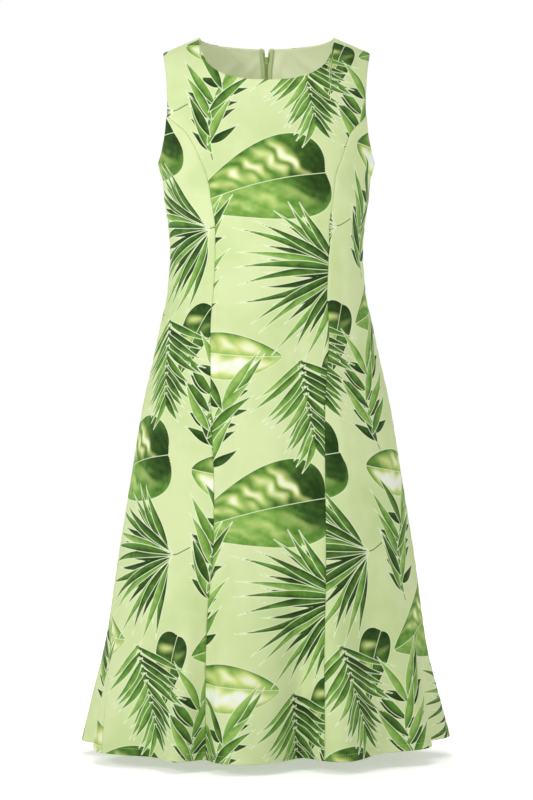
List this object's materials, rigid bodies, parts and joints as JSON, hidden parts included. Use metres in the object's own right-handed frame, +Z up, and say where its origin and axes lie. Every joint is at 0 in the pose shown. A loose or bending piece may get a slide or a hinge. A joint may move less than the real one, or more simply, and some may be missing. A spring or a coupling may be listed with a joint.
{
  "type": "sleeveless a-line dress",
  "caption": "Sleeveless princess-line dress with a scooped neck, a flared skirt and a closed invisible zip at the back, filled out as worn.",
  "frame": {"origin": "midway between the two neck points, at the height where the shoulders carry the dress", "axes": "+Z up from hem to neck, the front faces -Y, +X to the wearer's left"},
  "size_m": [0.611, 0.4914, 1.1668],
  "materials": {
    "cloth": "light plain-weave cotton printed with green leaves on a pale green ground, pale outlines, soft matt sheen",
    "lining": "plain pale green lightweight lining, matt",
    "zip_tape": "fine woven polyester tape, matt, a shade darker than the lining",
    "zip_chain": "moulded nylon coil",
    "zip_metal": "enamelled zinc, dyed to match, satin"
  },
  "bodies": {
    "dress": {"front_centre": "cloth", "side_front_left": "cloth", "side_front_right": "cloth", "side_back_left": "cloth", "side_back_right": "cloth", "back_left": "cloth", "back_right": "cloth", "facing_back_left": "lining", "facing_back_right": "lining", "zip_tape_left": "zip_tape", "zip_tape_right": "zip_tape", "zip_coil": "zip_chain", "zip_slider": "zip_metal"},
    "zip_pull": {"zip_pull": "zip_metal"}
  },
  "joints": [
    {"name": "zip_pull_hinge", "type": "hinge", "parent": "dress", "child": "zip_pull", "pos_m": [0, 0.09106, -0.02518], "axis": [1, 0, 0], "range_deg": [0, 150]}
  ]
}
